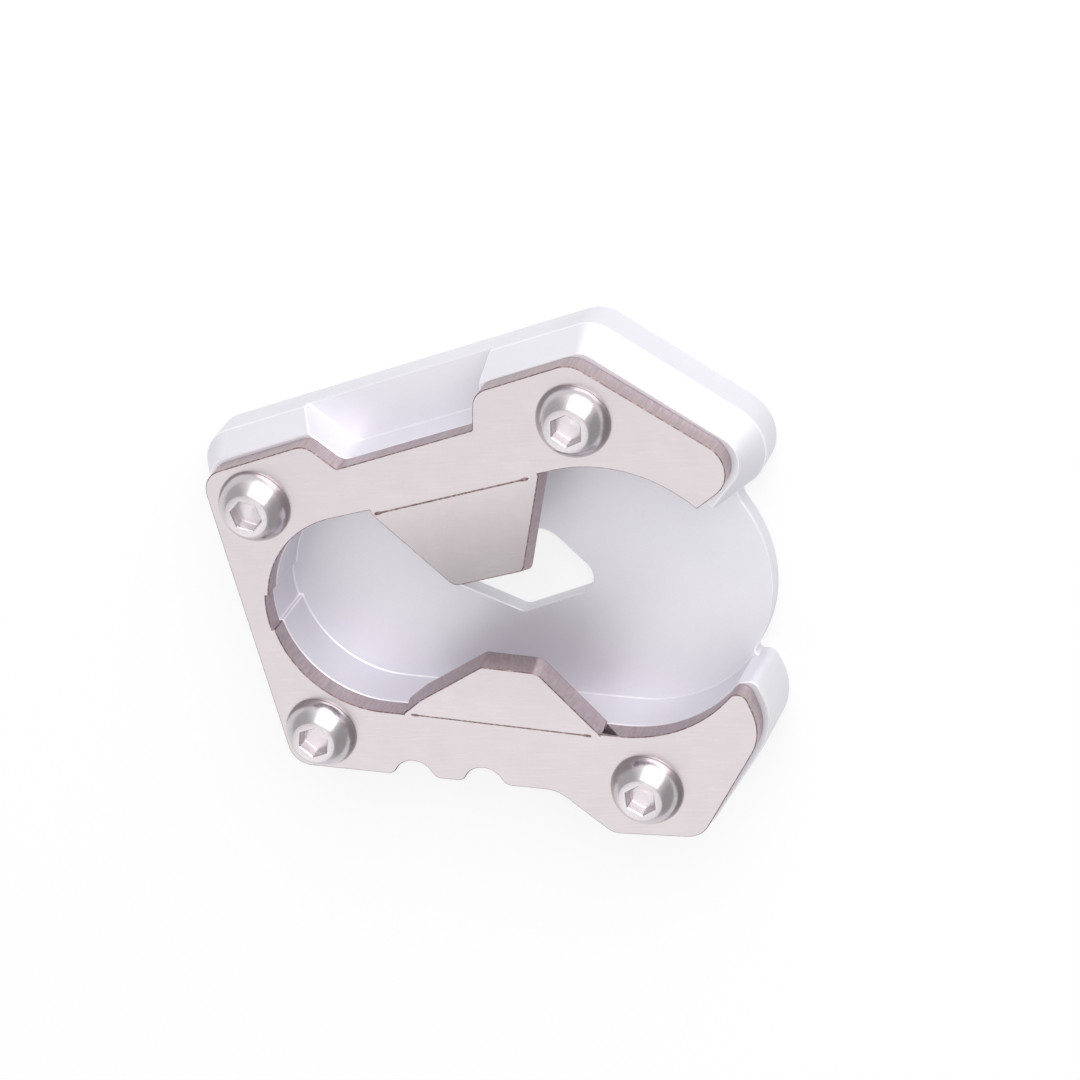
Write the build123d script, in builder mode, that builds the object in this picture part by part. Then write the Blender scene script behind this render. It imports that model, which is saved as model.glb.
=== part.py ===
# Kickstand foot enlarger: a milled aluminium base, a bent steel clamp plate and four button head screws.
# All sizes are in millimetres. The origin is the centre of the pocket's round heel, on the base's underside.
# +X points out of the pocket's open mouth, +Y to its left and +Z up.
import os
from math import cos, radians, sin, sqrt

from build123d import *

os.makedirs("parts", exist_ok=True)

# Heights
base_height = 10.0
floor_thickness = 2.6
recess_floor_height = 4.3
band_height = 5.3
chamfer_inset = 2.35
plate_thickness = 3.0

# Pocket for the stand's foot: two circles joined by their common tangents
heel_radius = 15.4
mouth_radius = 20.75
mouth_x = 35.4
floor_rim_setback = 0.25
floor_rim_left_fillet = 3.0
floor_rim_right_fillet = 0.7
plate_setback = 0.15

# Small relief in the heel wall
relief_radius = 16.0
relief_from_y = -1.5
relief_to_y = 3.9


def beside_mouth(angle, clearance):
    """Point at an angle round the mouth circle's centre, clearance outside the circle."""
    reach = mouth_radius + clearance
    return (mouth_x + reach * cos(radians(angle)), reach * sin(radians(angle)))


# Ends of the two arms: how far each corner lies outside the mouth circle, or inside it where negative
plate_left_nose_out = 9.92
plate_right_nose_out = 7.1
plate_right_end_out = -3.7
base_left_nose_out = 13.14
base_left_end_out = -13.14
base_right_nose_out = 8.0
base_right_tip_out = 1.85
base_right_end_out = -4.05

# Outline of the clamp plate, each corner as x, y and corner radius. The arm ends run on into the opening.
slope_foot = (0.45, 22.8)
step_foot = (21.9, 27.35)
plate_corners = [
    (-20.35, 23.0, 3.5),
    (-3.45, 26.75, 2.8),
    (*slope_foot, 0.4),
    (*step_foot, 0.4),
    (23.2, 32.8, 3.2),
    (38.05, 36.15, 4.0),
    (*beside_mouth(37.9, plate_left_nose_out), 4.35),
    (46.25, 10.6, 0),
    (*beside_mouth(-28.2, plate_right_end_out), 0),
    (*beside_mouth(-49.8, plate_right_nose_out), 8.0),
    (40.95, -37.3, 4.0),
    (27.95, -36.2, 3.0),
    (21.05, -29.0, 5.0),
    (-18.3, -23.25, 3.3),
]
plate_right_tip = beside_mouth(-39.3, plate_setback)
plate_right_tip_radius = 1.5

# Sides of the base that run straight down: right side, both arm ends. They pass far outside on the left.
side_corners = [
    (-45.0, -19.65, 0),
    (20.85, -29.4, 4.6),
    (27.75, -36.6, 3.4),
    (41.0, -37.7, 4.4),
    (*beside_mouth(-47.3, base_right_nose_out), 9.4),
    (*beside_mouth(-39.9, base_right_tip_out), 1.3),
    (*beside_mouth(-59.0, base_right_end_out), 0),
    (44.0, 8.5, 0),
    (80.0, 23.4, 0),
    (80.0, 60.0, 0),
    (-45.0, 60.0, 0),
]

# Sides of the base that carry the chamfer: heel, left side, left arm. They pass far outside on the right.
chamfered_corners = [
    (-21.0, -23.2, 5.4),
    (-23.1, 25.4, 5.4),
    (39.65, 39.0, 5.0),
    (*beside_mouth(35.33, base_left_nose_out), 6.6),
    (*beside_mouth(-3.4, base_left_end_out), 0),
    (80.0, -25.0, 0),
    (80.0, -60.0, 0),
    (45.0, -60.0, 0),
]

# Side recess, open to the left: its walls follow the plate's slope and step
recess_out_left = (-20.9, 45.0)
recess_out_right = (25.8, 45.0)
recess_corner_fillet = 2.5

# Finger scallops through the right side
scallop_radius = 3.05
scallop_setback = 0.4
scallop_centres = [(-0.1, -26.5), (10.3, -28.0)]
scallop_lip_fillet = 1.5

# Window through the floor, each corner as x, y and corner radius
window_corners = [
    (8.5, -0.5, 0.8),
    (18.0, -5.8, 1.5),
    (31.6, -2.2, 2.8),
    (23.6, 8.2, 4.0),
]

# Two tabs bent up along scored lines. Each flat outline runs along its bend line and away from it.
bend_angle = 21.0
strip_behind_bend = 2.0
left_bend = [(28.0, 19.65), (4.7, 15.75)]
left_tab_corners = [
    (-1.85, 0, 0),
    (3.7, 12.05, 1.0),
    (14.5, 12.05, 2.0),
    (24.4, 0, 0),
]
right_bend = [(2.25, -16.0), (27.95, -20.4)]
right_tab_corners = [
    (27.85, 0, 0),
    (20.6, 12.6, 1.5),
    (12.5, 12.6, 0.8),
    (1.8, 3.5, 5.0),
    (-1.4, 0, 0),
]

# Button head screws, M6 by 10
screw_heel_left_at = (-13.3, 18.05)
screw_mouth_left_at = (36.75, 27.85)
screw_heel_right_at = (-12.6, -18.15)
screw_mouth_right_at = (34.6, -29.2)
tapped_hole_diameter = 6.0
thread_play = 0.1
plate_hole_play = 0.5
screw_length = 10.0
screw_tip_chamfer = 0.6
head_diameter = 10.5
head_height = 3.3
head_rim = 0.35
head_land_diameter = 6.3
head_bulge = 0.32
hex_across_flats = 4.0
hex_depth = 2.0
hex_lead_in = 0.16
socket_turns = [40, 18, 13, 25]

# Values that follow from the sizes above
plate_top = base_height + plate_thickness
chamfer_height = base_height - band_height
screw_places = [screw_heel_left_at, screw_mouth_left_at, screw_heel_right_at, screw_mouth_right_at]
shank_diameter = tapped_hole_diameter - thread_play
plate_hole_diameter = tapped_hole_diameter + plate_hole_play


def rounded_outline(corners):
    """Closed outline through corners given as x, y and radius."""
    points = [(x, y) for x, y, radius in corners]
    radii = [radius for x, y, radius in corners]
    return FilletPolyline(*points, radius=radii, close=True)


def pocket_outline(setback):
    """Pocket shape seen from above, grown by setback."""
    with BuildSketch() as shape:
        with BuildLine():
            CenterArc((0, 0), heel_radius + setback, 0, 360)
            CenterArc((mouth_x, 0), mouth_radius + setback, 0, 360)
        make_hull()
    return shape.sketch


def relief_outline():
    """Shallow relief in the middle of the heel."""
    with BuildSketch() as shape:
        Circle(relief_radius)
        with Locations((-relief_radius, (relief_from_y + relief_to_y) / 2)):
            Rectangle(relief_radius, relief_to_y - relief_from_y, mode=Mode.INTERSECT)
    return shape.sketch


# Milled aluminium base
with BuildSketch() as chamfered_outline:
    with BuildLine():
        rounded_outline(chamfered_corners)
    make_face()

with BuildSketch() as side_outline:
    with BuildLine():
        rounded_outline(side_corners)
    make_face()
    with Locations(*scallop_centres):
        Circle(scallop_radius - scallop_setback, mode=Mode.SUBTRACT)
    lips = [
        corner
        for centre in scallop_centres
        for corner in side_outline.vertices().sort_by_distance((*centre, 0))[:2]
    ]
    fillet(lips, radius=scallop_lip_fillet + scallop_setback)

with BuildSketch() as recess_outline:
    with BuildLine():
        Polyline(slope_foot, step_foot, recess_out_right, recess_out_left, close=True)
    make_face()
    inner_corner = recess_outline.vertices().sort_by_distance((*slope_foot, 0))[0]
    fillet(inner_corner, radius=recess_corner_fillet)

with BuildPart() as base:
    with BuildSketch():
        add(chamfered_outline.sketch)
    extrude(amount=base_height)
    top = base.faces().sort_by(Axis.Z)[-1]
    chamfer(top.edges(), length=chamfer_inset, length2=chamfer_height, reference=top)
    with BuildSketch():
        add(side_outline.sketch)
    extrude(amount=base_height, mode=Mode.INTERSECT)
    # Round floor rim between the arms
    with BuildSketch():
        with Locations((mouth_x, 0)):
            Circle(mouth_radius - floor_rim_setback)
    extrude(amount=floor_thickness)
    rim_ends = base.edges().filter_by(Axis.Z).filter_by(lambda edge: edge.length < 1.5 * floor_thickness)
    fillet(rim_ends.sort_by(Axis.Y)[0], radius=floor_rim_right_fillet)
    rim_ends = base.edges().filter_by(Axis.Z).filter_by(lambda edge: edge.length < 1.5 * floor_thickness)
    fillet(rim_ends.sort_by(Axis.Y)[-1], radius=floor_rim_left_fillet)
    # Pocket with its heel relief
    with BuildSketch(Plane.XY.offset(floor_thickness)):
        add(pocket_outline(0))
        add(relief_outline())
    extrude(amount=base_height, mode=Mode.SUBTRACT)
    # Window in the floor
    with BuildSketch():
        with BuildLine():
            rounded_outline(window_corners)
        make_face()
    extrude(amount=floor_thickness, mode=Mode.SUBTRACT)
    # Side recess
    with BuildSketch(Plane.XY.offset(recess_floor_height)):
        add(recess_outline.sketch)
    extrude(amount=base_height, mode=Mode.SUBTRACT)
    # Tapped holes
    with BuildSketch():
        with Locations(*screw_places):
            Circle(tapped_hole_diameter / 2)
    extrude(amount=base_height, mode=Mode.SUBTRACT)
base.part.label = "base"
export_step(base.part, "parts/base.step")


# Laser cut clamp plate with two bent tabs
with BuildSketch() as plate_outline:
    with BuildLine():
        rounded_outline(plate_corners)
    make_face()
    for centre in scallop_centres:
        with Locations(centre):
            Circle(scallop_radius, mode=Mode.SUBTRACT)
        lips = plate_outline.vertices().sort_by_distance((*centre, 0))[:2]
        fillet(lips, radius=scallop_lip_fillet)
    add(pocket_outline(plate_setback), mode=Mode.SUBTRACT)
    right_tip = plate_outline.vertices().sort_by_distance((*plate_right_tip, 0))[0]
    fillet(right_tip, radius=plate_right_tip_radius)
    add(relief_outline(), mode=Mode.SUBTRACT)
    with Locations(*screw_places):
        Circle(plate_hole_diameter / 2, mode=Mode.SUBTRACT)

with BuildPart() as clamp_plate:
    with BuildSketch(Plane.XY.offset(base_height)):
        add(plate_outline.sketch)
    extrude(amount=plate_thickness)
    for bend, corners in [(left_bend, left_tab_corners), (right_bend, right_tab_corners)]:
        start = Vector(*bend[0], plate_top)
        along = Vector(*bend[1], plate_top) - start
        flat = Plane(origin=start, x_dir=along, z_dir=(0, 0, 1))
        tilted = Plane(origin=start, x_dir=along, z_dir=flat.z_dir.rotate(Axis(start, along), bend_angle))
        root_from = min(x for x, y, radius in corners)
        root_to = max(x for x, y, radius in corners)
        root_middle = (root_from + root_to) / 2
        # Flat strip between the opening and the bend line
        with BuildSketch(flat):
            with Locations((root_middle, -strip_behind_bend / 2)):
                Rectangle(root_to - root_from, strip_behind_bend)
        extrude(amount=-plate_thickness)
        # Bend, with its centre on the scored line
        with BuildSketch(Plane(origin=start, x_dir=flat.x_dir, z_dir=-flat.y_dir)):
            with Locations((root_middle, -plate_thickness / 2)):
                Rectangle(root_to - root_from, plate_thickness)
        revolve(axis=Axis(start, along), revolution_arc=bend_angle)
        # Tab
        with BuildSketch(tilted):
            with BuildLine():
                rounded_outline(corners)
            make_face()
        extrude(amount=-plate_thickness)
clamp_plate.part.label = "clamp_plate"
export_step(clamp_plate.part, "parts/clamp_plate.step")


# Button head screw, standing on the origin
rim = Vector(head_diameter / 2, head_rim)
land = Vector(head_land_diameter / 2, head_height)
outward = Vector(land.Y - rim.Y, rim.X - land.X).normalized()
crown = (rim + land) / 2 + outward * head_bulge
with BuildPart() as screw:
    with BuildSketch(Plane.XZ):
        with BuildLine():
            Polyline(
                land,
                (0, head_height),
                (0, -screw_length),
                (shank_diameter / 2 - screw_tip_chamfer, -screw_length),
                (shank_diameter / 2, screw_tip_chamfer - screw_length),
                (shank_diameter / 2, 0),
                (head_diameter / 2, 0),
                rim,
            )
            ThreePointArc(rim, crown, land)
        make_face()
    revolve(axis=Axis.Z)
    with BuildSketch(Plane.XY.offset(head_height)):
        RegularPolygon(hex_across_flats / 2, 6, major_radius=False)
    extrude(amount=-hex_depth, mode=Mode.SUBTRACT)
    with BuildSketch(Plane.XY.offset(head_height)):
        Circle(hex_across_flats / sqrt(3) + hex_lead_in / 2)
    extrude(amount=-hex_lead_in, taper=45, mode=Mode.SUBTRACT)

# The same screw in its four places, each socket turned its own way
with BuildPart() as screw_heel_left:
    with Locations(Location((*screw_heel_left_at, plate_top), (0, 0, socket_turns[0]))):
        add(screw.part)
screw_heel_left.part.label = "screw_heel_left"
export_step(screw_heel_left.part, "parts/screw_heel_left.step")

with BuildPart() as screw_mouth_left:
    with Locations(Location((*screw_mouth_left_at, plate_top), (0, 0, socket_turns[1]))):
        add(screw.part)
screw_mouth_left.part.label = "screw_mouth_left"
export_step(screw_mouth_left.part, "parts/screw_mouth_left.step")

with BuildPart() as screw_heel_right:
    with Locations(Location((*screw_heel_right_at, plate_top), (0, 0, socket_turns[2]))):
        add(screw.part)
screw_heel_right.part.label = "screw_heel_right"
export_step(screw_heel_right.part, "parts/screw_heel_right.step")

with BuildPart() as screw_mouth_right:
    with Locations(Location((*screw_mouth_right_at, plate_top), (0, 0, socket_turns[3]))):
        add(screw.part)
screw_mouth_right.part.label = "screw_mouth_right"
export_step(screw_mouth_right.part, "parts/screw_mouth_right.step")
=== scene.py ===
from math import cos, pi, radians, sin

import bmesh
import bpy
from mathutils import Matrix, Vector


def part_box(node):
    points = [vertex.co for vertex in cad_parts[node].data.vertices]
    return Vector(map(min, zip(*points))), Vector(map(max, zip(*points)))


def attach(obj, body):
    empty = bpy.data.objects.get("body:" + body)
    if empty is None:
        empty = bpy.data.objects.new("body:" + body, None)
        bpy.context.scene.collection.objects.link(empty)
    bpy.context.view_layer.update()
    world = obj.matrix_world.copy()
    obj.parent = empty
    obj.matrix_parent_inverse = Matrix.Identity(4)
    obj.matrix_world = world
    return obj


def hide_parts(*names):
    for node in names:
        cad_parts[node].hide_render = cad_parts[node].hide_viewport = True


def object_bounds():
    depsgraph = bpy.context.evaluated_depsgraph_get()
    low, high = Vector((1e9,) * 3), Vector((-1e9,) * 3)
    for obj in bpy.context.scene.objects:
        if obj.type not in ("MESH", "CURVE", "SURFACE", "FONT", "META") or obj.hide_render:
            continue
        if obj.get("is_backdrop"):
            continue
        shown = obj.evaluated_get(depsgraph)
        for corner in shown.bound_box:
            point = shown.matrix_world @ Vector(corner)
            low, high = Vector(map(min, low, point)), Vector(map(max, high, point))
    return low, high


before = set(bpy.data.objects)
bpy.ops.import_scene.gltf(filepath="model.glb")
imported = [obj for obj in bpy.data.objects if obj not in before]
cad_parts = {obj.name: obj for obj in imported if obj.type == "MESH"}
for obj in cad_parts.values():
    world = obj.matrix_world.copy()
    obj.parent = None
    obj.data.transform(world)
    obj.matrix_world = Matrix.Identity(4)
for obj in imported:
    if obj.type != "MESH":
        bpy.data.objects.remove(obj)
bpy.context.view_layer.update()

# Milled base: one block of aluminium, bead blasted after milling and clear anodised.
# Its edges were broken by the mill. They are smoother there, and they are painted lighter as a painted
# highlight.
MM = 0.001
base_break = 0.2 * MM
same_point = 0.001 * MM
flat_turn = radians(0.5)
sharp_turn = radians(25)
needle_turn = radians(30)
# An edge at a needle is merged away when it is shorter than this many times the rounding's width
needle_reach = 3
EDGE_ATTRIBUTE = "broken_edge"
# A Mix node's inputs by number: its share, then two values or two colours
SHARE = 0
FROM_VALUE = 2
TO_VALUE = 3
FROM_COLOUR = 6
TO_COLOUR = 7
# The number of the output that gives its colour
MIXED_COLOUR = 2
# The stretch of a noise's values that is spread between the two ends of a roughness
NOISE_LOW = 0.3
NOISE_HIGH = 0.7


def linear(hex_colour):
    """Turn a written sRGB colour into the linear RGBA that the shaders take."""
    channels = [int(hex_colour[i : i + 2], 16) / 255 for i in (1, 3, 5)]
    return [c / 12.92 if c <= 0.04045 else ((c + 0.055) / 1.055) ** 2.4 for c in channels] + [1.0]


def node(tree, kind, inputs=None, **settings):
    """Add a node, set its properties, then fill or link its inputs by name or number."""
    made = tree.nodes.new(kind)
    for name, value in settings.items():
        setattr(made, name, value)
    for key, value in (inputs or {}).items():
        if isinstance(value, bpy.types.NodeSocket):
            tree.links.new(value, made.inputs[key])
        else:
            made.inputs[key].default_value = value
    return made


def metal(name, metallic):
    """Start a metal. Give back the material, its tree, its Object coordinates and its shader."""
    made = bpy.data.materials.new(name)
    made.use_nodes = True
    place = node(made.node_tree, "ShaderNodeTexCoord").outputs["Object"]
    shader = made.node_tree.nodes["Principled BSDF"]
    shader.inputs["Metallic"].default_value = metallic
    return made, made.node_tree, place, shader


def as_mesh(name, shape):
    """Keep a finished shape as a mesh, and free the shape."""
    mesh = bpy.data.meshes.new(name)
    shape.to_mesh(mesh)
    shape.free()
    return mesh


def in_scene(name, data):
    """Put a mesh, lamp or camera into the scene as a new object."""
    made = bpy.data.objects.new(name, data)
    bpy.context.scene.collection.objects.link(made)
    return made


def blunt_needles(shape, longest):
    """Cut back corners where two sharp edges meet like a needle: rounding one would run along the other."""
    for vert in list(shape.verts):
        while vert.is_valid:
            edges = [edge for edge in vert.link_edges if edge.calc_face_angle() > sharp_turn]
            ways = [(edge.other_vert(vert).co - vert.co, edge) for edge in edges]
            needles = [
                min((one, two), key=lambda way: way[0].length)
                for i, one in enumerate(ways)
                for two in ways[:i]
                if one[0].angle(two[0]) < needle_turn and min(one[0].length, two[0].length) < longest
            ]
            if not needles:
                break
            kept = needles[0][1].other_vert(vert)
            bmesh.ops.pointmerge(shape, verts=[kept, vert], merge_co=kept.co)
            vert = kept


def break_edges(name, source, width, rim_material, inner_edges):
    """Copy a CAD node's mesh as a new object, with its outer edges rounded, and its inner ones if asked."""
    shape = bmesh.new()
    shape.from_mesh(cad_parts[source].data)
    bmesh.ops.remove_doubles(shape, verts=shape.verts, dist=same_point)
    bmesh.ops.dissolve_limit(shape, angle_limit=flat_turn, verts=shape.verts, edges=shape.edges)
    for face in shape.faces:
        face.material_index = 0
    broken = shape.faces.layers.float.new(EDGE_ATTRIBUTE)
    blunt_needles(shape, needle_reach * width)
    sharp = [edge for edge in shape.edges if edge.calc_face_angle() > sharp_turn]
    if not inner_edges:
        for edge in sharp:
            edge.smooth = edge.is_convex
        sharp = [edge for edge in sharp if edge.is_convex]
    rounded = bmesh.ops.bevel(
        shape,
        geom=sharp,
        offset=width,
        segments=2,
        profile=0.5,
        affect="EDGES",
        clamp_overlap=False,
        material=rim_material,
    )
    for face in rounded["faces"]:
        face[broken] = 1.0
    mesh = as_mesh(name, shape)
    mesh.shade_smooth()
    made = in_scene(name, mesh)
    made.modifiers.new("flat_faces", "WEIGHTED_NORMAL").keep_sharp = True
    return made


base = break_edges("base_milled", "base", base_break, 0, True)

# Clear anodised aluminium: pale silver and satin. How far it mirrors is matched to the photograph.
aluminium, tree, place, shader = metal("clear_anodised_aluminium", 0.8)
# Faint clouds of the anodising
cloud_width = 15 * MM
clouds = node(tree, "ShaderNodeTexNoise", {"Vector": place, "Scale": 1 / cloud_width, "Detail": 2.0})
# Bead blasting is finer than a pixel, so its grain is drawn this wide
grain_width = 0.25 * MM
grain_depth = 0.02 * MM
grain = node(tree, "ShaderNodeTexNoise", {"Vector": place, "Scale": 1 / grain_width, "Detail": 3.0})
at_edge = node(tree, "ShaderNodeAttribute", attribute_name=EDGE_ATTRIBUTE)
silver = node(
    tree,
    "ShaderNodeMix",
    {SHARE: clouds.outputs[0], FROM_COLOUR: linear("#D8D6DC"), TO_COLOUR: linear("#E2E0E6")},
    data_type="RGBA",
)
# The rounded edges are painted lighter than the rest of the base: a painted highlight, not a colour of the
# metal
colour = node(
    tree,
    "ShaderNodeMix",
    {
        SHARE: at_edge.outputs["Fac"],
        FROM_COLOUR: silver.outputs[MIXED_COLOUR],
        TO_COLOUR: linear("#EBE9EE"),
    },
    data_type="RGBA",
)
blasted = node(
    tree,
    "ShaderNodeMapRange",
    {
        "Value": grain.outputs[0],
        "From Min": NOISE_LOW,
        "From Max": NOISE_HIGH,
        "To Min": 0.58,
        "To Max": 0.66,
    },
)
edge_roughness = 0.42
satin = node(
    tree,
    "ShaderNodeMix",
    {SHARE: at_edge.outputs["Fac"], FROM_VALUE: blasted.outputs[0], TO_VALUE: edge_roughness},
    data_type="FLOAT",
)
pits = node(tree, "ShaderNodeBump", {"Height": grain.outputs[0], "Strength": 0.1, "Distance": grain_depth})
tree.links.new(colour.outputs[MIXED_COLOUR], shader.inputs["Base Color"])
tree.links.new(satin.outputs[0], shader.inputs["Roughness"])
tree.links.new(pits.outputs[0], shader.inputs["Normal"])
base.data.materials.append(aluminium)
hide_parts("base")
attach(base, "root")

# Clamp plate: 3 mm stainless sheet, laser cut, with two tabs bent up along scored lines.
# The faces keep the mill's dull, slightly warm finish. The cut sides are darker and ribbed by the
# beam, and a thin brown line of burnt metal runs along every edge.
SHEET_FACE = 0
CUT_SIDE = 1
BURNT_EDGE = 2
burnt_width = 0.13 * MM
# A cut side looks less far upwards than this. A bent tab's face looks further upwards.
side_upwards = 0.6
plate = break_edges("plate_cut", "clamp_plate", burnt_width, BURNT_EDGE, False)
for face in plate.data.polygons:
    if face.material_index == SHEET_FACE and abs(face.normal.z) < side_upwards:
        face.material_index = CUT_SIDE

# Mill finish stainless: a flat grey that mirrors softly, with cloudy patches left by the pickling
sheet, tree, place, shader = metal("mill_finish_stainless", 1.0)
patch_width = 4 * MM
patches = node(
    tree,
    "ShaderNodeTexNoise",
    {"Vector": place, "Scale": 1 / patch_width, "Detail": 4.0, "Roughness": 0.6},
)
# Rolling marks run along the sheet. Their length, width and depth are in millimetres.
mark_length = 6.0
mark_width = 0.25
mark_depth = 0.01
rolled = node(
    tree,
    "ShaderNodeMapping",
    {"Vector": place, "Scale": (1 / mark_length, 1 / mark_width, 1 / mark_width)},
)
marks = node(tree, "ShaderNodeTexNoise", {"Vector": rolled.outputs[0], "Scale": 1 / MM, "Detail": 3.0})
colour = node(
    tree,
    "ShaderNodeMix",
    {SHARE: patches.outputs[0], FROM_COLOUR: linear("#C1B9BC"), TO_COLOUR: linear("#CAC2C4")},
    data_type="RGBA",
)
dull = node(
    tree,
    "ShaderNodeMapRange",
    {
        "Value": marks.outputs[0],
        "From Min": NOISE_LOW,
        "From Max": NOISE_HIGH,
        "To Min": 0.26,
        "To Max": 0.34,
    },
)
streaks = node(
    tree,
    "ShaderNodeBump",
    {"Height": marks.outputs[0], "Strength": 0.07, "Distance": mark_depth * MM},
)
tree.links.new(colour.outputs[MIXED_COLOUR], shader.inputs["Base Color"])
tree.links.new(dull.outputs[0], shader.inputs["Roughness"])
tree.links.new(streaks.outputs[0], shader.inputs["Normal"])

# Laser cut stainless: brownish grey, with fine ribs that run through the sheet from face to face
cut, tree, place, shader = metal("laser_cut_stainless", 1.0)
# How many ribs stand in a millimetre along the cut, and how many breaks in a millimetre of its height
ribs_along = 3.3
breaks_down = 0.4
rib_depth = 0.03 * MM
ribbed = node(
    tree,
    "ShaderNodeMapping",
    {"Vector": place, "Scale": (ribs_along, ribs_along, breaks_down)},
)
ribs = node(
    tree,
    "ShaderNodeTexNoise",
    {"Vector": ribbed.outputs[0], "Scale": 1 / MM, "Detail": 3.0, "Roughness": 0.6},
)
colour = node(
    tree,
    "ShaderNodeMix",
    {SHARE: ribs.outputs[0], FROM_COLOUR: linear("#998A8D"), TO_COLOUR: linear("#CFC1C4")},
    data_type="RGBA",
)
ridges = node(tree, "ShaderNodeBump", {"Height": ribs.outputs[0], "Strength": 0.5, "Distance": rib_depth})
shader.inputs["Roughness"].default_value = 0.42
tree.links.new(colour.outputs[MIXED_COLOUR], shader.inputs["Base Color"])
tree.links.new(ridges.outputs[0], shader.inputs["Normal"])

# Burnt stainless: the brown line that the beam leaves, broken up by burrs and bare spots
burnt, tree, place, shader = metal("burnt_stainless_edge", 1.0)
spot_width = 0.5 * MM
spots = node(tree, "ShaderNodeTexNoise", {"Vector": place, "Scale": 1 / spot_width, "Detail": 3.0})
bare = node(tree, "ShaderNodeMapRange", {"Value": spots.outputs[0], "From Min": 0.45, "From Max": 0.7})
colour = node(
    tree,
    "ShaderNodeMix",
    {SHARE: bare.outputs[0], FROM_COLOUR: linear("#7B6262"), TO_COLOUR: linear("#B4A3A3")},
    data_type="RGBA",
)
shader.inputs["Roughness"].default_value = 0.5
tree.links.new(colour.outputs[MIXED_COLOUR], shader.inputs["Base Color"])

for material in (sheet, cut, burnt):
    plate.data.materials.append(material)
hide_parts("clamp_plate")
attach(plate, "root")

# Score lines: the laser cut part way through the sheet along each bend, so that it folds there.
# Each starts and ends in a pierced dot. A score is drawn as a burnt strip along the fold that lies on
# the sheet and on the tab, a hair above their faces. Lengths here are in millimetres.
tab_bend = radians(21)
# Each score's two ends, and the side of it that the tab is on
score_lines = [((4.7, 15.75), (28.0, 19.65), -1), ((2.25, -16.0), (27.95, -20.4), 1)]
# Distance from a score's end, and half the strip's width there: the dot, then the narrower line
score_end = [(-0.35, 0.04), (-0.15, 0.2), (0.2, 0.26), (0.6, 0.2), (1.0, 0.11)]
strip_proud = 0.04
strip_thickness = 0.06
# The heads stand on the plate, so its top is a head's height below the top of one
head_height = 3.3
plate_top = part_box("screw_heel_left")[1].z / MM - head_height
up = Vector((0, 0, 1))
shape = bmesh.new()
for first, last, tab_side in score_lines:
    start = Vector((*first, plate_top))
    end = Vector((*last, plate_top))
    length = (end - start).length
    along = (end - start).normalized()
    across = Vector((-along.y, along.x, 0)) * tab_side
    up_the_tab = across * cos(tab_bend) + up * sin(tab_bend)
    stations = score_end + [(length - distance, half) for distance, half in reversed(score_end)]
    previous = None
    for distance, half in stations:
        fold = start + along * distance + up * strip_proud
        section = [fold - across * half, fold, fold + up_the_tab * half]
        section += [point - up * strip_thickness for point in reversed(section)]
        ring = [shape.verts.new(point * MM) for point in section]
        if previous:
            for i in range(len(ring)):
                shape.faces.new((previous[i - 1], previous[i], ring[i], ring[i - 1]))
        else:
            shape.faces.new(ring)
        previous = ring
    shape.faces.new(reversed(previous))
bmesh.ops.recalc_face_normals(shape, faces=shape.faces)
scores = in_scene("bend_scores", as_mesh("bend_scores", shape))
scores.data.materials.append(burnt)
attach(scores, "root")

# Screws: four M6 by 10 button heads of polished stainless steel, each turned until it was tight.
# They are cold headed. The punched hexagon socket has a narrow bevel round its mouth and a shallow
# cone in its floor, and a flat land lies between it and the dome. Lengths here are in millimetres.
head_radius = 5.25
head_rim = 0.35
# From the head's radius and its underside: the rounding below the rim
rim_foot = [(-0.12, 0.0), (-0.03, 0.04), (0.0, 0.14)]
rim_to_dome = 0.08
# The dome is an arc. Its centre is measured from the axis and the head's underside, its ends in degrees.
dome_radius = 5.28
dome_centre = Vector((0.158, -1.052))
dome_from = 15.4
dome_to = 54.3
dome_steps = 14
land_radius = 3.15
# From the land's radius and its height: where the dome runs into the land
land_edge = [(-0.01, -0.02), (-0.07, 0.0)]
socket_half_flats = 2.0
socket_bevel = 0.14
socket_depth = 1.9
socket_corner = 0.1
cone_radius = 1.3
cone_depth = 0.35
cone_tip_radius = 0.05
hexagon_turn = radians(60)
shank_length = 10.0
tip_chamfer = 0.6
thread_root_radius = 2.5
thread_pitch = 1.0
thread_turns = 8.6
thread_from_tip = 0.5
segments = 96
smooth_turn = radians(28)
SOCKET_ATTRIBUTE = "in_socket"

dome_sweep = dome_to - dome_from
dome_angles = [radians(dome_from + dome_sweep * step / dome_steps) for step in range(dome_steps + 1)]
outside = [
    (thread_root_radius - tip_chamfer, -shank_length),
    (thread_root_radius, tip_chamfer - shank_length),
    (thread_root_radius, 0.0),
    *[(head_radius + out, rise) for out, rise in rim_foot],
    (head_radius, head_rim - rim_to_dome),
    *[(dome_centre.x + dome_radius * cos(a), dome_centre.y + dome_radius * sin(a)) for a in dome_angles],
    *[(land_radius + out, head_height + rise) for out, rise in land_edge],
]
# The socket's first point ends the land, and the bevel leads to its second
first_inside = len(outside) + 1
socket_floor = head_height - socket_depth
shape = bmesh.new()
inside = shape.faces.layers.float.new(SOCKET_ATTRIBUTE)
columns = []
for step in range(segments):
    turn = 2 * pi * step / segments
    flat = socket_half_flats / cos(turn % hexagon_turn - hexagon_turn / 2)
    column = outside + [
        (flat + socket_bevel, head_height),
        (flat, head_height - socket_bevel),
        (flat, socket_floor + socket_corner),
        (flat - socket_corner, socket_floor),
        (cone_radius, socket_floor),
        (cone_tip_radius, socket_floor - cone_depth),
    ]
    columns.append([shape.verts.new(Vector((r * cos(turn), r * sin(turn), z)) * MM) for r, z in column])
for i, column in enumerate(columns):
    for j in range(len(column) - 1):
        face = shape.faces.new((columns[i - 1][j], column[j], column[j + 1], columns[i - 1][j + 1]))
        face[inside] = float(j >= first_inside)
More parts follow.
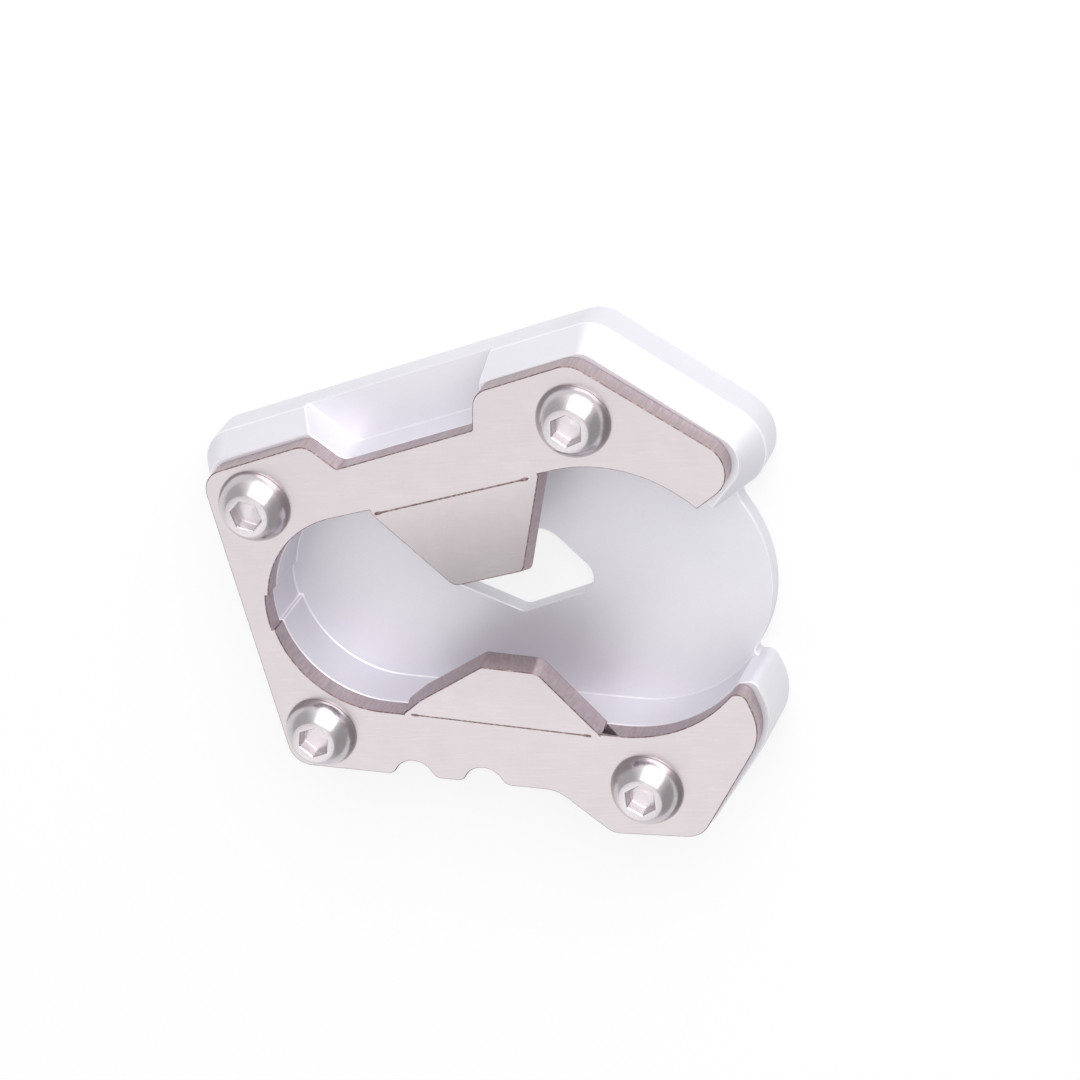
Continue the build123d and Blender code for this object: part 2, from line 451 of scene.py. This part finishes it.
shape.faces.new([column[0] for column in reversed(columns)])
shape.faces.new([column[-1] for column in columns])[inside] = 1.0
bmesh.ops.remove_doubles(shape, verts=shape.verts, dist=same_point)
bmesh.ops.recalc_face_normals(shape, faces=shape.faces)
for edge in shape.edges:
    edge.smooth = edge.calc_face_angle() < smooth_turn
mesh = as_mesh("button_screw", shape)
for face in mesh.polygons:
    face.use_smooth = True
button_screw = bpy.data.objects.new("button_screw", mesh)

# Polished stainless: a bright mirror, dulled here and there by the driver and the tumbling drum
steel, tree, place, shader = metal("polished_stainless", 1.0)
scuff_width = 0.4 * MM
scuff_depth = 0.02 * MM
scuffs = node(
    tree,
    "ShaderNodeTexNoise",
    {"Vector": place, "Scale": 1 / scuff_width, "Detail": 4.0, "Roughness": 0.65},
)
polish = node(
    tree,
    "ShaderNodeMapRange",
    {"Value": scuffs.outputs[0], "From Min": 0.35, "From Max": 0.75, "To Min": 0.16, "To Max": 0.3},
)
dents = node(tree, "ShaderNodeBump", {"Height": scuffs.outputs[0], "Strength": 0.2, "Distance": scuff_depth})
polished = node(
    tree,
    "ShaderNodeMix",
    {SHARE: scuffs.outputs[0], FROM_COLOUR: linear("#D0CACD"), TO_COLOUR: linear("#BDB7BB")},
    data_type="RGBA",
)
# The punched socket is left as it was forged, a little duller than the polished head
socket_roughness = 0.4
in_socket = node(tree, "ShaderNodeAttribute", attribute_name=SOCKET_ATTRIBUTE)
colour = node(
    tree,
    "ShaderNodeMix",
    {
        SHARE: in_socket.outputs["Fac"],
        FROM_COLOUR: polished.outputs[MIXED_COLOUR],
        TO_COLOUR: linear("#DAD4D7"),
    },
    data_type="RGBA",
)
dullness = node(
    tree,
    "ShaderNodeMix",
    {SHARE: in_socket.outputs["Fac"], FROM_VALUE: polish.outputs[0], TO_VALUE: socket_roughness},
    data_type="FLOAT",
)
tree.links.new(colour.outputs[MIXED_COLOUR], shader.inputs["Base Color"])
tree.links.new(dullness.outputs[0], shader.inputs["Roughness"])
tree.links.new(dents.outputs[0], shader.inputs["Normal"])

# One tree winds the thread's ridge as a helix and sets it, with the screw if it is given one, at each
# place, turned about its axis
TURN_ATTRIBUTE = "turn"
steps_per_turn = 36
ridge_sides = 4
# From the middle of the ridge's square bar to its corner, as a share of the pitch
ridge_share = 0.46
thread_inputs = {
    "Geometry": "NodeSocketGeometry",
    "Screw": "NodeSocketObject",
    "Thread radius": "NodeSocketFloat",
    "Thread pitch": "NodeSocketFloat",
    "Thread turns": "NodeSocketFloat",
    "Thread start": "NodeSocketFloat",
    "Material": "NodeSocketMaterial",
}
threaded = bpy.data.node_groups.new("threaded_at_each_place", "GeometryNodeTree")
for name, kind in thread_inputs.items():
    threaded.interface.new_socket(name, in_out="INPUT", socket_type=kind)
threaded.interface.new_socket("Geometry", in_out="OUTPUT", socket_type="NodeSocketGeometry")
given = node(threaded, "NodeGroupInput").outputs
height = node(
    threaded,
    "ShaderNodeMath",
    {0: given["Thread pitch"], 1: given["Thread turns"]},
    operation="MULTIPLY",
)
helix = node(
    threaded,
    "GeometryNodeCurveSpiral",
    {
        "Resolution": steps_per_turn,
        "Rotations": given["Thread turns"],
        "Start Radius": given["Thread radius"],
        "End Radius": given["Thread radius"],
        "Height": height.outputs[0],
    },
)
upright = node(threaded, "GeometryNodeSetCurveNormal", {"Curve": helix.outputs[0]}, mode="Z_UP")
ridge_half = node(
    threaded,
    "ShaderNodeMath",
    {0: given["Thread pitch"], 1: ridge_share},
    operation="MULTIPLY",
)
ridge = node(
    threaded,
    "GeometryNodeCurvePrimitiveCircle",
    {"Resolution": ridge_sides, "Radius": ridge_half.outputs[0]},
)
thread = node(
    threaded,
    "GeometryNodeCurveToMesh",
    {"Curve": upright.outputs[0], "Profile Curve": ridge.outputs[0], "Fill Caps": True},
)
drop = node(threaded, "ShaderNodeCombineXYZ", {"Z": given["Thread start"]})
lowered = node(
    threaded,
    "GeometryNodeTransform",
    {"Geometry": thread.outputs[0], "Translation": drop.outputs[0]},
)
body = node(threaded, "GeometryNodeObjectInfo", {"Object": given["Screw"]})
whole = node(threaded, "GeometryNodeJoinGeometry", {"Geometry": lowered.outputs[0]})
threaded.links.new(body.outputs["Geometry"], whole.inputs["Geometry"])
turned = node(threaded, "GeometryNodeInputNamedAttribute", {"Name": TURN_ATTRIBUTE}, data_type="FLOAT")
about_axis = node(threaded, "ShaderNodeCombineXYZ", {"Z": turned.outputs["Attribute"]})
each = node(
    threaded,
    "GeometryNodeInstanceOnPoints",
    {"Points": given["Geometry"], "Instance": whole.outputs[0], "Rotation": about_axis.outputs[0]},
)
real = node(threaded, "GeometryNodeRealizeInstances", {"Geometry": each.outputs[0]})
finished = node(
    threaded,
    "GeometryNodeSetMaterial",
    {"Geometry": real.outputs[0], "Material": given["Material"]},
)
node(threaded, "NodeGroupOutput", {"Geometry": finished.outputs[0]})


def set_threads(name, places, turns, sizes):
    """Run the tree on a point at each place, and keep the result as a plain mesh."""
    points = bpy.data.meshes.new(name)
    points.from_pydata(places, [], [])
    points.attributes.new(TURN_ATTRIBUTE, "FLOAT", "POINT").data.foreach_set("value", turns)
    made = in_scene(name, points)
    run = made.modifiers.new("thread", "NODES")
    run.node_group = threaded
    for socket in threaded.interface.items_tree:
        if socket.in_out == "INPUT" and socket.name in sizes:
            run[socket.identifier] = sizes[socket.name]
    evaluated = made.evaluated_get(bpy.context.evaluated_depsgraph_get())
    mesh = bpy.data.meshes.new_from_object(evaluated)
    mesh.materials.clear()
    mesh.materials.append(sizes["Material"])
    made.modifiers.clear()
    made.data = mesh
    return made


screw_names = ["screw_heel_left", "screw_mouth_left", "screw_heel_right", "screw_mouth_right"]
socket_turns = [radians(40), radians(18), radians(13), radians(25)]
seats = []
for name in screw_names:
    low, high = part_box(name)
    seats.append(((low.x + high.x) / 2, (low.y + high.y) / 2, high.z - head_height * MM))
shank_thread = {
    "Screw": button_screw,
    "Thread radius": thread_root_radius * MM,
    "Thread pitch": thread_pitch * MM,
    "Thread turns": thread_turns,
    "Thread start": (thread_from_tip - shank_length) * MM,
    "Material": steel,
}
screws = set_threads("button_screws", seats, socket_turns, shank_thread)
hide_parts(*screw_names)
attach(screws, "root")

# Tapped holes: the lower end of each M6 thread in the base, below the screw's tip.
# The crests stand into the hole, in the same anodised aluminium as the base. Lengths here are in
# millimetres.
hole_radius = 3.0
hole_turns = 2.6
thread_above_underside = 0.75
hole_thread = {
    "Thread radius": hole_radius * MM,
    "Thread pitch": thread_pitch * MM,
    "Thread turns": hole_turns,
    "Thread start": thread_above_underside * MM,
    "Material": aluminium,
}
tapped = set_threads("tapped_threads", [(x, y, 0.0) for x, y, _ in seats], socket_turns, hole_thread)
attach(tapped, "root")

# Floor: a white sheet of paper that runs out of the picture and shows a faint contact shadow.
# Seen straight or in the metal it is lifted towards white, and it lights the object by its own colour.
floor_width = 6
lift_to_white = 0.72
bpy.ops.mesh.primitive_plane_add(size=floor_width)
floor = bpy.context.object
floor.name = "paper_floor"
paper = bpy.data.materials.new("white_paper")
paper.use_nodes = True
tree = paper.node_tree
shader = tree.nodes["Principled BSDF"]
shader.inputs["Base Color"].default_value = linear("#E4E4E5")
shader.inputs["Roughness"].default_value = 0.9
rays = node(tree, "ShaderNodeLightPath").outputs
seen = node(
    tree,
    "ShaderNodeMath",
    {0: rays["Is Camera Ray"], 1: rays["Is Glossy Ray"]},
    operation="MAXIMUM",
)
shown = node(
    tree,
    "ShaderNodeMath",
    {0: seen.outputs[0], 1: rays["Is Transmission Ray"]},
    operation="MAXIMUM",
)
share = node(tree, "ShaderNodeMath", {0: shown.outputs[0], 1: lift_to_white}, operation="MULTIPLY")
white = node(tree, "ShaderNodeEmission", {"Color": linear("#FFFFFF"), "Strength": 1.0})
mixed = node(tree, "ShaderNodeMixShader", {0: share.outputs[0], 1: shader.outputs[0], 2: white.outputs[0]})
tree.links.new(mixed.outputs[0], tree.nodes["Material Output"].inputs["Surface"])
floor.data.materials.append(paper)
floor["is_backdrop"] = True

# Light: a pale tent that is greyer behind on the left and dark in front on the right, where the
# camera stands, and one broad soft window behind on the right.
# The ways to the greyer and to the darker side of the tent
grey_side = (-0.78, 0.45, 0.43)
dark_side = (0.82, -0.57, 0.0)
world = bpy.data.worlds.new("light_tent")
bpy.context.scene.world = world
world.use_nodes = True
tree = world.node_tree
direction = node(tree, "ShaderNodeTexCoord").outputs["Generated"]
to_grey_side = node(tree, "ShaderNodeVectorMath", {0: direction, 1: grey_side}, operation="DOT_PRODUCT")
level = node(
    tree,
    "ShaderNodeMapRange",
    {
        "Value": to_grey_side.outputs["Value"],
        "From Min": 0.42,
        "From Max": 0.9,
        "To Min": 1.56,
        "To Max": 0.62,
    },
)
to_dark_side = node(tree, "ShaderNodeVectorMath", {0: direction, 1: dark_side}, operation="DOT_PRODUCT")
fall_off = node(
    tree,
    "ShaderNodeMapRange",
    {
        "Value": to_dark_side.outputs["Value"],
        "From Min": -0.1,
        "From Max": 0.8,
        "To Min": 1.0,
        "To Max": 0.3,
    },
)
brightness = node(
    tree,
    "ShaderNodeMath",
    {0: level.outputs[0], 1: fall_off.outputs[0]},
    operation="MULTIPLY",
)
sky = tree.nodes["Background"]
sky.inputs["Color"].default_value = linear("#FFFFFF")
tree.links.new(brightness.outputs[0], sky.inputs["Strength"])

window_way = Vector((0.507, 0.723, 0.469)).normalized()
window_distance = 1.0
window_radiance = 2.3
window = bpy.data.lights.new("window", "AREA")
window.shape = "RECTANGLE"
window.size = 1.1
window.size_y = 1.2
window.energy = window_radiance * pi * window.size * window.size_y
lamp = in_scene("window", window)
lamp.location = window_way * window_distance
lamp.rotation_euler = window_way.to_track_quat("Z", "Y").to_euler()

# Camera: the photograph's viewing angle, a long lens looking down with the picture turned
picture_right = Vector((0.92299, -0.21825, -0.31695))
picture_up = Vector((0.04992, 0.88456, -0.46375))
camera_place = Vector((0.24871, 0.249, 0.49197))
lens = bpy.data.cameras.new("camera")
lens.lens = 142
lens.clip_start = 0.05
camera = in_scene("camera", lens)
facing = Matrix((picture_right, picture_up, picture_right.cross(picture_up))).transposed()
camera.matrix_world = Matrix.Translation(camera_place) @ facing.to_4x4()
bpy.context.scene.camera = camera
bpy.context.scene.view_settings.view_transform = "Standard"

low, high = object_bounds()
